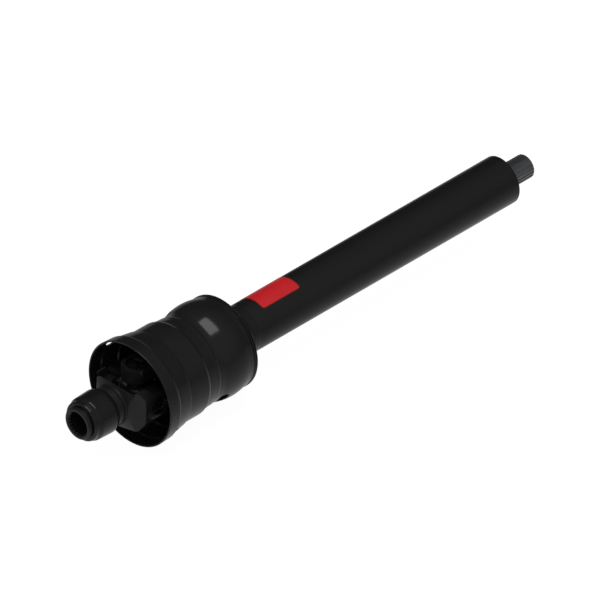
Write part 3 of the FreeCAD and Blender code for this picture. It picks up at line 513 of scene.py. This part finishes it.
@dataclass
class Guard:
    """Bell, its back, the guard tube and the label, in millimetres.

    Attributes:
        wall: wall of the bell.
        outline: outside of the bell from its mouth to its rim.
        rim: groove, rim and joint where the bell meets its back.
        bell_sides: faces round the bell.
        holes: station, radius and height of each pair of the bell's holes.
        cutter_middle: distance from the axis to the middle of a hole's cutter.
        cutter_length: length of that cutter.
        cutter_sides: faces round it.
        back: outside of the back, from the bell to the lip round the tube.
        back_foot: front of the back's sleeve, which sits on the tube.
        back_sides: faces round the back.
        tube_radius: outside of the tube.
        tube_bore: inside of the tube.
        tube_front: front end of the tube, inside the bell.
        tube_end: open end of the tube.
        tube_sides: faces round the tube.
        seat: depth of the seat that the back sits on.
        seat_end: end of that seat.
        ring_lines: turned lines round the tube behind the bell.
        line_half: half the width of such a line.
        line_depth: its depth.
    """

    wall: float = 3.0
    outline: list[Corner] = field(default_factory=lambda: [
        Corner(123.3, 96.9, 0.9), Corner(146.3, 95.8, 3.0), Corner(150.0, 93.6, 1.2),
        Corner(179.2, 89.0, 4.0), Corner(182.0, 86.5, 1.2), Corner(224.0, 86.4, 5.0),
        Corner(229.0, 84.0, 2.0), Corner(246.0, 82.3, 4.0), Corner(252.6, 82.1, 4.0),
        Corner(255.2, 81.3, 1.2), Corner(268.5, 81.3, 0.0, 92.0),
        Corner(322.0, 84.7), Corner(331.6, 83.7)])
    rim: list[Corner] = field(default_factory=lambda: [
        Corner(331.9, 82.4), Corner(333.3, 82.4), Corner(333.6, 84.0), Corner(334.0, 84.4),
        Corner(335.6, 84.4, 0.3), Corner(335.8, 82.2), Corner(336.6, 82.2)])
    bell_sides: int = 180
    holes: tuple[tuple[float, float, float], ...] = ((153.5, 8.0, 52.5), (275.0, 10.5, 51.0))
    cutter_middle: float = 70.0
    cutter_length: float = 100.0
    cutter_sides: int = 48
    back: list[Corner] = field(default_factory=lambda: [
        Corner(336.6, 77.6), Corner(336.6, 82.2), Corner(337.1, 82.2), Corner(337.3, 84.4, 0.3),
        Corner(339.2, 84.4, 0.6), Corner(339.2, 80.6, 0.5), Corner(361.5, 48.0, 1.5),
        Corner(366.0, 48.0, 0.0, 6.75), Corner(370.5, 43.55)])
    back_foot: Corner = Corner(346.0, 45.8, 0.4)
    back_sides: int = 144
    tube_radius: float = 43.4
    tube_bore: float = 40.4
    tube_front: float = 312.0
    tube_end: float = 993.1
    tube_sides: int = 128
    seat: float = 0.6
    seat_end: float = 370.5
    ring_lines: tuple[float, ...] = (372.9, 378.6, 386.7)
    line_half: float = 0.4
    line_depth: float = 0.1

    def build(self) -> None:
        """Make every piece of the guard."""
        self.add_bell()
        self.add_back()
        self.add_tube()
        WrappedLabel().build()

    def add_bell(self) -> None:
        """Turn the bell with soft steps and cut its level holes."""
        inside = [Corner(corner.station, corner.radius - self.wall, corner.soft)
                  for corner in reversed(self.outline)]
        # The inside runs back to the mouth, so the bulge's arc starts at its other end.
        start = len(inside) - 1 - next(
            place for place, corner in enumerate(self.outline) if corner.sweep)
        before = inside[start - 1]
        inside[start - 1] = Corner(before.station, before.radius, 0.0,
                                   self.wall - self.outline[-1 - start].sweep)
        inside[start] = Corner(inside[start].station, inside[start].radius)
        back = Corner(self.rim[-1].station, self.outline[-1].radius - self.wall)
        bell = turned("guard_bell", self.outline + self.rim + [back] + inside,
                      self.bell_sides)
        carve(bell, [self.hole_cutter(station, radius, height * side, side)
                     for station, radius, height in self.holes for side in (1, -1)],
              TURNED_CREASE)
        settle(bell, Carrier.GUARD, [BELL_PLASTIC], "shield_bell")

    def hole_cutter(self, station: float, radius: float, height: float,
                    side: int) -> bpy.types.Object:
        """Return the round rod that cuts one hole through the bell, level and across it.

        Args:
            station: the hole's place along the shaft.
            radius: the hole's radius.
            height: its height above the axis, below 0 under it.
            side: 1 for the far side and -1 for the near side.
        """
        middle = Vector((station, self.cutter_middle * side, height)) * MILLIMETRE
        return rod("hole_cutter_%d_%d" % (station, side), radius, self.cutter_length,
                   self.cutter_sides,
                   Matrix.Translation(middle) @ Matrix.Rotation(math.pi / 2, 4, "X"))

    def add_back(self) -> None:
        """Turn the back of the guard with its rounded lip."""
        seat = self.tube_radius - self.seat
        back = turned("guard_back", self.back + [
            Corner(self.seat_end, seat), Corner(self.back_foot.station, seat), self.back_foot],
            self.back_sides)
        settle(back, Carrier.GUARD, [GUARD_PLASTIC], "shield_back_cone")

    def add_tube(self) -> None:
        """Turn the guard tube with its seat and the fine lines behind the bell."""
        seat = self.tube_radius - self.seat
        corners = [Corner(self.tube_front, self.tube_bore, 0.3),
                   Corner(self.tube_front, seat, 0.3), Corner(self.seat_end, seat),
                   Corner(self.seat_end, self.tube_radius)]
        for line in self.ring_lines:
            corners += [Corner(line - self.line_half, self.tube_radius),
                        Corner(line, self.tube_radius - self.line_depth),
                        Corner(line + self.line_half, self.tube_radius)]
        corners += [Corner(self.tube_end, self.tube_radius, 0.5),
                    Corner(self.tube_end, self.tube_bore, 0.4)]
        tube = turned("guard_tube", corners, self.tube_sides)
        settle(tube, Carrier.GUARD, [TUBE_PLASTIC], "shield_tube")


@dataclass
class WrappedLabel:
    """Plain red label with an inked edge, wrapped round the tube, in millimetres.

    Attributes:
        start: its edge nearest the bell.
        length: its length along the tube.
        tube_radius: the tube it is stuck to.
        thickness: the film.
        glue: gap between the film and the tube.
        middle: direction of its middle above +Y, in degrees.
        half_span: half its span round the tube, in degrees.
        corner: radius of its corners.
        insets: steps from its edge to its middle, of which the first is inked.
        side_steps: faces along each straight side.
        corner_steps: faces along each corner.
    """

    start: float = 413.4
    length: float = 89.2
    tube_radius: float = 43.4
    thickness: float = 0.2
    glue: float = 0.02
    middle: float = 78.85
    half_span: float = 41.85
    corner: float = 6.0
    insets: tuple[float, ...] = (0.0, 1.9, 3.9, 7.0, 11.0, 15.0, 19.0, 23.0, 27.0, 31.0, 31.69)
    side_steps: int = 24
    corner_steps: int = 8

    def loop(self, inset: float) -> list[tuple[float, float]]:
        """Return one closed row of points, inset from the label's edge.

        Args:
            inset: distance from the edge.

        Returns:
            Place along the tube and round it, in millimetres.
        """
        half_along = self.length / 2 - inset
        half_round = math.radians(self.half_span) * self.tube_radius - inset
        corner = max(self.corner - inset, 0.0)
        centres = [(across * (half_along - corner), up * (half_round - corner))
                   for across, up in ((1, 1), (-1, 1), (-1, -1), (1, -1))]
        points = []
        for quarter, centre in enumerate(centres):
            target = centres[(quarter + 1) % 4]
            turn = quarter * math.pi / 2
            pitch = math.pi / 2 / self.corner_steps
            points += [(centre[0] + corner * math.cos(turn + step * pitch),
                        centre[1] + corner * math.sin(turn + step * pitch))
                       for step in range(self.corner_steps + 1)]
            sweep = turn + math.pi / 2
            begin = (centre[0] + corner * math.cos(sweep), centre[1] + corner * math.sin(sweep))
            end = (target[0] + corner * math.cos(sweep), target[1] + corner * math.sin(sweep))
            points += [(begin[0] + (end[0] - begin[0]) * step / self.side_steps,
                        begin[1] + (end[1] - begin[1]) * step / self.side_steps)
                       for step in range(1, self.side_steps)]
        return points

    def wrap(self, point: tuple[float, float], lift: float) -> Vector:
        """Return a label point's place on the tube, in metres.

        Args:
            point: place along and round the tube from the label's middle.
            lift: height above the tube.
        """
        angle = math.radians(self.middle) + point[1] / self.tube_radius
        radius = self.tube_radius + lift
        return Vector((self.start + self.length / 2 + point[0], radius * math.cos(angle),
                       radius * math.sin(angle))) * MILLIMETRE

    def build(self) -> None:
        """Make the film as a closed thin shell."""
        shape = bmesh.new()
        shells = [[[shape.verts.new(self.wrap(point, lift)) for point in self.loop(inset)]
                   for inset in self.insets] for lift in (self.thickness, self.glue)]
        count = len(shells[0][0])
        for shell in shells:
            for row, (outer, inner) in enumerate(zip(shell, shell[1:])):
                for step in range(count):
                    face = shape.faces.new((outer[step - 1], outer[step], inner[step],
                                            inner[step - 1]))
                    face.material_index = 1 if row == 0 else 0
            shape.faces.new(shell[-1])
        for step in range(count):
            face = shape.faces.new((shells[0][0][step - 1], shells[0][0][step],
                                    shells[1][0][step], shells[1][0][step - 1]))
            face.material_index = 1
        label = mesh_object("plain_label", shape, FILM_CREASE)
        settle(label, Carrier.GUARD, [LABEL_FILM, LABEL_EDGE], "label")


@dataclass
class ForkPockets:
    """Pockets forged into the root of the tractor yoke's fork, in millimetres.

    Attributes:
        profile: their section along the shaft, above the axis.
        half_widths: half the width of the upper and of the lower one.
    """

    profile: tuple[tuple[float, float], ...] = (
        (88.0, 60.0), (88.0, 36.5), (89.2, 31.0), (91.5, 26.5), (95.0, 23.6), (100.0, 22.0),
        (119.0, 22.0), (119.0, 60.0))
    half_widths: tuple[float, float] = (44.0, 27.0)

    def build(self) -> None:
        """Cut a pocket into the top and the bottom of the fork's root."""
        forging = FRAME["nodes"]["tractor_yoke"].data
        shape = bmesh.new()
        points = [shape.verts.new(vertex.co) for vertex in forging.vertices]
        for face in forging.polygons:
            shape.faces.new([points[place] for place in face.vertices])
        yoke = mesh_object("relieved_yoke", shape, FORGED_CREASE)
        carve(yoke, [self.cutter(side, half_width)
                     for side, half_width in zip((1, -1), self.half_widths)], FORGED_CREASE)
        settle(yoke, Carrier.YOKE, [FORGING_PAINT], "tractor_yoke")

    def cutter(self, side: int, half_width: float) -> bpy.types.Object:
        """Return the bar that cuts one pocket.

        Args:
            side: 1 for the top and -1 for the bottom.
            half_width: half the pocket's width.
        """
        shape = bmesh.new()
        skin(shape, [[shape.verts.new(Vector((station, across, height * side)) * MILLIMETRE)
                      for station, height in self.profile]
                     for across in (-half_width, half_width)])
        return mesh_object("pocket_cutter_%d" % side, shape)


@dataclass
class SlideCollar:
    """Grip of the quick release, in millimetres.

    Attributes:
        corners: its profile, the outside first.
        sides: faces round it.
    """

    corners: list[Corner] = field(default_factory=lambda: [
        Corner(9.3, 28.7, 0.3), Corner(9.3, 33.7), Corner(9.9, 35.1), Corner(11.7, 36.1, 3.4),
        Corner(15.6, 36.1, 0.5), Corner(21.0, 39.2, 3.6), Corner(23.2, 39.4, 0.2),
        Corner(23.7, 39.05), Corner(24.2, 39.45, 0.2), Corner(52.0, 40.5, 0.0, 22.0),
        Corner(64.2, 36.5), Corner(64.2, 35.3, 0.3), Corner(40.0, 35.3), Corner(40.0, 28.7, 0.3),
        Corner(34.0, 28.7), Corner(22.0, 32.1), Corner(16.95, 32.1), Corner(16.95, 28.7)])
    sides: int = 128

    def build(self) -> None:
        """Turn the collar with its soft edges and the fine groove of its grip."""
        collar = turned("slide_grip", self.corners, self.sides)
        settle(collar, Carrier.COLLAR, [COLLAR_PAINT], "slide_collar")


@dataclass
class CollarSpring:
    """Coil that holds the collar forward, wound at rest, in millimetres.

    Attributes:
        front: its end at the collar's shoulder.
        seat: its end at the yoke's neck.
        travel: how far the collar is pulled; not used.
        radius: middle of its turns.
        wire: radius of its wire.
        turns: number of turns.
        steps: rings of faces in one turn.
        sides: faces round the wire.
        crease: angle in degrees past which an edge stays sharp.
    """

    front: float = 40.2
    seat: float = 62.8
    travel: float = 12.0
    radius: float = 32.0
    wire: float = 1.25
    turns: int = 4
    steps: int = 40
    sides: int = 12
    crease: float = 60.0

    def build(self) -> None:
        """Wind the wire from the collar's shoulder to its seat."""
        shape = bmesh.new()
        first, last = self.front + self.wire, self.seat - self.wire
        total = self.turns * self.steps
        rings = []
        for number in range(total + 1):
            angle = math.tau * number / self.steps
            station = first + (last - first) * number / total
            ring = []
            for side in range(self.sides):
                way = math.tau * side / self.sides
                reach = self.radius + self.wire * math.sin(way)
                ring.append(shape.verts.new(Vector((
                    station + self.wire * math.cos(way), reach * math.cos(angle),
                    reach * math.sin(angle))) * MILLIMETRE))
            rings.append(ring)
        skin(shape, rings)
        spring = mesh_object("wound_spring", shape, self.crease)
        settle(spring, Carrier.YOKE, [SPRING_STEEL], "collar_spring")
        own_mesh(spring)


@dataclass
class SplinedShaft:
    """Shaft with teeth all along, one tooth repeated round it, in millimetres.

    Attributes:
        start: its inner end.
        end: its splined end.
        tip: tip radius of the teeth.
        root: root radius of the teeth.
        teeth: number of teeth.
        tip_half: half width of a tooth at its tip.
        root_half: half width of a tooth at its root.
        edge: bevel of a tooth's tip.
        sunk: depth of a tooth's foot in the core.
        short: how far the teeth stop short of the core's inner and splined end.
        chamfer: edge of the splined end.
        axis_hole: radius of the fine hole that turning leaves along the axis.
        sides: faces round the core.
        soft: radius that softens the core's inner end.
        pin_station: spring pin's place.
        pin_radius: radius of its hole.
        drill_length: length of the rod that cuts that hole.
        drill_sides: faces round that rod.
    """

    start: float = 285.0
    end: float = 1050.3
    tip: float = 21.43
    root: float = 20.0
    teeth: int = 20
    tip_half: float = 1.42
    root_half: float = 1.84
    edge: float = 0.25
    sunk: float = 0.35
    short: tuple[float, float] = (0.4, 0.1)
    chamfer: float = 1.5
    axis_hole: float = 0.4
    sides: int = 120
    soft: float = 0.4
    pin_station: float = 301.0
    pin_radius: float = 5.0
    drill_length: float = 60.0
    drill_sides: int = 32

    def build(self) -> None:
        """Make the shaft's core, repeat the tooth round it and drill the pin's hole."""
        face = self.tip - self.chamfer
        core = turned("toothed_shaft", [
            Corner(self.start, self.axis_hole), Corner(self.start, self.root, self.soft),
            Corner(self.end - (self.root - face), self.root), Corner(self.end, face),
            Corner(self.end, self.axis_hole)], self.sides)
        tooth = self.tooth()
        tree = self.tooth_tree()
        teeth = core.modifiers.new("teeth", "NODES")
        teeth.node_group = tree
        values = {"Tooth": tooth, "Teeth": self.teeth, "First": math.pi / self.teeth,
                  "Steel": SHAFT_STEEL.material()}
        for item in tree.interface.items_tree:
            if item.in_out == "INPUT" and item.name in values:
                teeth[item.identifier] = values[item.name]
        bake(core)
        bpy.data.objects.remove(tooth)
        drill = rod("pin_drill", self.pin_radius, self.drill_length, self.drill_sides,
                    Matrix.Translation((self.pin_station * MILLIMETRE, 0, 0)))
        carve(core, [drill], FORGED_CREASE, crossing=True)
        settle(core, Carrier.SHAFT, [SHAFT_STEEL], "splined_shaft")

    def tooth(self) -> bpy.types.Object:
        """Return one tooth above the axis, with slanted flanks and a chamfered end."""
        half = ((self.tip_half - self.edge, self.tip), (self.tip_half, self.tip - self.edge),
                (self.root_half, self.root), (self.root_half, self.root - self.sunk))
        flank = [(-across, up) for across, up in reversed(half)] + list(half)
        shape = bmesh.new()
        rows = []
        for station, drop in ((self.start + self.short[0], 0.0),
                              (self.end - self.chamfer, 0.0),
                              (self.end - self.short[1], self.chamfer)):
            rows.append([shape.verts.new(Vector((station, across, min(up, self.tip - drop)))
                                         * MILLIMETRE) for across, up in flank])
        skin(shape, rows)
        return mesh_object("one_tooth", shape, FORGED_CREASE)

    def tooth_tree(self) -> bpy.types.NodeTree:
        """Return the node tree that repeats a tooth round the shaft's axis."""
        tree = bpy.data.node_groups.new("teeth_round_shaft", "GeometryNodeTree")
        for name, kind in (("Core", "NodeSocketGeometry"), ("Tooth", "NodeSocketObject"),
                           ("Teeth", "NodeSocketInt"), ("First", "NodeSocketFloat"),
                           ("Steel", "NodeSocketMaterial")):
            tree.interface.new_socket(name, in_out="INPUT", socket_type=kind)
        tree.interface.new_socket("Shaft", in_out="OUTPUT", socket_type="NodeSocketGeometry")
        given = add_node(tree, "NodeGroupInput")
        pattern = add_node(tree, "GeometryNodeObjectInfo", {"Object": given.outputs["Tooth"]})
        places = add_node(tree, "GeometryNodeMeshLine", {
            "Count": given.outputs["Teeth"], "Offset": (0.0, 0.0, 0.0)})
        index = add_node(tree, "GeometryNodeInputIndex")
        pitch = add_node(tree, "ShaderNodeMath", {
            0: math.tau, 1: given.outputs["Teeth"]}, operation="DIVIDE")
        angle = add_node(tree, "ShaderNodeMath", {
            0: index.outputs["Index"], 1: pitch.outputs["Value"],
            2: given.outputs["First"]}, operation="MULTIPLY_ADD")
        turn = add_node(tree, "ShaderNodeCombineXYZ", {"X": angle.outputs["Value"]})
        way = add_node(tree, "FunctionNodeEulerToRotation", {"Euler": turn.outputs["Vector"]})
        teeth = add_node(tree, "GeometryNodeInstanceOnPoints", {
            "Points": places.outputs["Mesh"], "Instance": pattern.outputs["Geometry"],
            "Rotation": way.outputs["Rotation"]})
        real = add_node(tree, "GeometryNodeRealizeInstances", {
            "Geometry": teeth.outputs["Instances"]})
        whole = add_node(tree, "GeometryNodeJoinGeometry")
        tree.links.new(given.outputs["Core"], whole.inputs["Geometry"])
        tree.links.new(real.outputs["Geometry"], whole.inputs["Geometry"])
        finish = add_node(tree, "GeometryNodeSetMaterial", {
            "Geometry": whole.outputs["Geometry"], "Material": given.outputs["Steel"]})
        add_node(tree, "NodeGroupOutput", {"Shaft": finish.outputs["Geometry"]})
        return tree


class JointPieces:
    """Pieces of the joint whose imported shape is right: they only get their finishes."""

    def dress(self) -> None:
        """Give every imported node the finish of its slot."""
        for part in FRAME["record"]["subparts"]:
            node = FRAME["nodes"][part["node"]]
            finish = CAD_FINISHES[part["material_slot"]]
            node.data.materials.clear()
            node.data.materials.append(finish.material())
            LOG.info("%s: %s", node.name, finish.name)


@dataclass
class Studio:
    """Camera, floor, world and lamps.

    Attributes:
        view_width: metres that the picture is across.
        pixels: width of the picture.
        middle: point of the shaft's axis that the camera faces.
        shift: how far that point lies right of and above the picture's middle, in pixels.
        azimuth: camera's turn about Z, in degrees.
        elevation: camera's height above the level, in degrees.
        distance: camera's distance.
        clip: distance at which the camera's sight ends.
        floor_half: half the side of the floor.
        floor_gap: gap between the bell and the floor.
        floor_glow: how bright the camera sees the floor, short of the light that falls on it.
        floor_matt: how much of that light the camera sees, which keeps the shadow faint.
        floor_bounce: how much of it the floor throws back on the shaft.
        fill: strength of the soft light from all round.
        fill_colour: its colour, in linear light.
        sheen: strength of the room that glossy surfaces mirror, behind the shaft and in front.
        sheen_turn: cosines to the camera's direction between which it rises.
        sheen_colour: its colour, in linear light.
        floor_sheen: strength of the floor that they mirror, far off and right underneath.
        box_watts: power of the softbox overhead.
        box_place: where the softbox hangs, in metres.
        box_aim: the point that it faces.
        box_side: its side, in metres.
    """

    view_width: float = 0.9934
    pixels: int = 600
    middle: float = 0.5229
    shift: tuple[float, float] = (0.5, 4.42)
    azimuth: float = -45.0
    elevation: float = 35.264
    distance: float = 4.0
    clip: float = 20.0
    floor_half: float = 6.0
    floor_gap: float = 0.0003
    floor_glow: float = 0.965
    floor_matt: float = 0.08
    floor_bounce: float = 0.8
    fill: float = 0.64
    fill_colour: tuple[float, float, float, float] = (0.97, 0.98, 1.0, 1.0)
    sheen: tuple[float, float] = (0.015, 0.25)
    sheen_turn: tuple[float, float] = (-0.35, 0.6)
    sheen_colour: tuple[float, float, float, float] = (0.95, 0.97, 1.0, 1.0)
    floor_sheen: tuple[float, float] = (0.14, 0.62)
    box_watts: float = 26.0
    box_place: tuple[float, float, float] = (0.15, -0.16, 2.4)
    box_aim: tuple[float, float, float] = (0.15, -0.05, 0.0)
    box_side: float = 1.72

    def build(self) -> None:
        """Make the whole studio."""
        bpy.context.scene.view_settings.view_transform = "Standard"
        self.add_camera()
        self.add_world()
        self.add_floor()
        self.add_softbox()
        LOG.info("studio ready")

    def axes(self) -> tuple[Vector, Vector, Vector]:
        """Return the camera's right, up and backward directions."""
        turn, lift = math.radians(self.azimuth), math.radians(self.elevation)
        back = Vector((math.sin(turn) * math.cos(lift), -math.cos(turn) * math.cos(lift),
                       math.sin(lift)))
        right = Vector((math.cos(turn), math.sin(turn), 0.0))
        return right, back.cross(right), back

    def add_camera(self) -> None:
        """Point an orthographic camera at the shaft as in the photograph."""
        right, up, back = self.axes()
        pixel = self.view_width / self.pixels
        target = (Vector((self.middle, 0.0, 0.0)) - right * self.shift[0] * pixel
                  - up * self.shift[1] * pixel)
        data = bpy.data.cameras.new("camera")
        data.type = "ORTHO"
        data.ortho_scale = self.view_width
        data.clip_end = self.clip
        camera = bpy.data.objects.new("camera", data)
        rotation = Matrix((right, up, back)).transposed().to_4x4()
        camera.matrix_world = Matrix.Translation(target + back * self.distance) @ rotation
        bpy.context.scene.collection.objects.link(camera)
        bpy.context.scene.camera = camera

    def add_world(self) -> None:
        """White behind the shaft, soft light on it and a dim room for its gloss."""
        world = bpy.data.worlds.new("studio")
        bpy.context.scene.world = world
        world.use_nodes = True
        tree = world.node_tree
        tree.nodes.clear()
        path = add_node(tree, "ShaderNodeLightPath")
        seen = add_node(tree, "ShaderNodeMath", {
            0: path.outputs["Is Camera Ray"], 1: path.outputs["Is Transmission Ray"]},
            operation="MAXIMUM")
        fill = add_node(tree, "ShaderNodeBackground", {
            "Color": self.fill_colour, "Strength": self.fill})
        way = add_node(tree, "ShaderNodeTexCoord")
        front = add_node(tree, "ShaderNodeVectorMath", {
            0: way.outputs["Generated"], 1: self.axes()[2]}, operation="DOT_PRODUCT")
        strength = add_node(tree, "ShaderNodeMapRange", {
            "Value": front.outputs["Value"], "From Min": self.sheen_turn[0],
            "From Max": self.sheen_turn[1], "To Min": self.sheen[0], "To Max": self.sheen[1]})
        room = add_node(tree, "ShaderNodeBackground", {
            "Color": self.sheen_colour, "Strength": strength.outputs["Result"]})
        white = add_node(tree, "ShaderNodeBackground", {
            "Color": WHITE, "Strength": 1.0})
        light = add_node(tree, "ShaderNodeMixShader", {
            0: path.outputs["Is Glossy Ray"], 1: fill.outputs["Background"],
            2: room.outputs["Background"]})
        both = add_node(tree, "ShaderNodeMixShader", {
            0: seen.outputs["Value"], 1: light.outputs["Shader"],
            2: white.outputs["Background"]})
        add_node(tree, "ShaderNodeOutputWorld", {"Surface": both.outputs["Shader"]})

    def add_floor(self) -> None:
        """Pale floor under the bell that keeps a faint shadow."""
        low = CAD_BOX[0][2] - self.floor_gap
        side = self.floor_half
        mesh = bpy.data.meshes.new("floor")
        mesh.from_pydata([(-side, -side, low), (side, -side, low), (side, side, low),
                          (-side, side, low)], [], [(0, 1, 2, 3)])
        floor = bpy.data.objects.new("floor", mesh)
        bpy.context.scene.collection.objects.link(floor)
        material = bpy.data.materials.new("pale_floor")
        material.use_nodes = True
        tree = material.node_tree
        tree.nodes.clear()
        path = add_node(tree, "ShaderNodeLightPath")
        matt = add_node(tree, "ShaderNodeBsdfDiffuse", {
            "Color": (*[self.floor_matt] * 3, 1.0)})
        lit = add_node(tree, "ShaderNodeBsdfDiffuse", {
            "Color": (*[self.floor_bounce] * 3, 1.0)})
        glow = add_node(tree, "ShaderNodeEmission", {
            "Color": WHITE, "Strength": self.floor_glow})
        bright = add_node(tree, "ShaderNodeAddShader", {
            0: matt.outputs["BSDF"], 1: glow.outputs["Emission"]})
        ray = add_node(tree, "ShaderNodeNewGeometry")
        parts = add_node(tree, "ShaderNodeSeparateXYZ", {"Vector": ray.outputs["Incoming"]})
        steep = add_node(tree, "ShaderNodeMapRange", {
            "Value": parts.outputs["Z"], "To Min": self.floor_sheen[0],
            "To Max": self.floor_sheen[1]})
        mirrored = add_node(tree, "ShaderNodeEmission", {
            "Color": WHITE, "Strength": steep.outputs["Result"]})
        light = add_node(tree, "ShaderNodeMixShader", {
            0: path.outputs["Is Glossy Ray"], 1: lit.outputs["BSDF"],
            2: mirrored.outputs["Emission"]})
        both = add_node(tree, "ShaderNodeMixShader", {
            0: path.outputs["Is Camera Ray"], 1: light.outputs["Shader"],
            2: bright.outputs["Shader"]})
        add_node(tree, "ShaderNodeOutputMaterial", {"Surface": both.outputs["Shader"]})
        mesh.materials.append(material)

    def add_softbox(self) -> None:
        """Hang a square lamp over the shaft."""
        data = bpy.data.lights.new("overhead_box", "AREA")
        data.size = self.box_side
        data.energy = self.box_watts
        lamp = bpy.data.objects.new("overhead_box", data)
        lamp.location = self.box_place
        way = Vector(self.box_aim) - Vector(self.box_place)
        lamp.rotation_euler = way.to_track_quat("-Z", "Y").to_euler()
        bpy.context.scene.collection.objects.link(lamp)


def main() -> None:
    """Build the studio, the turned pieces and the finishes."""
    logging.basicConfig(level=logging.INFO, format="%(message)s")
    Studio().build()
    JointPieces().dress()
    Guard().build()
    ForkPockets().build()
    SlideCollar().build()
    CollarSpring().build()
    SplinedShaft().build()


if __name__ == "__main__":
    main()
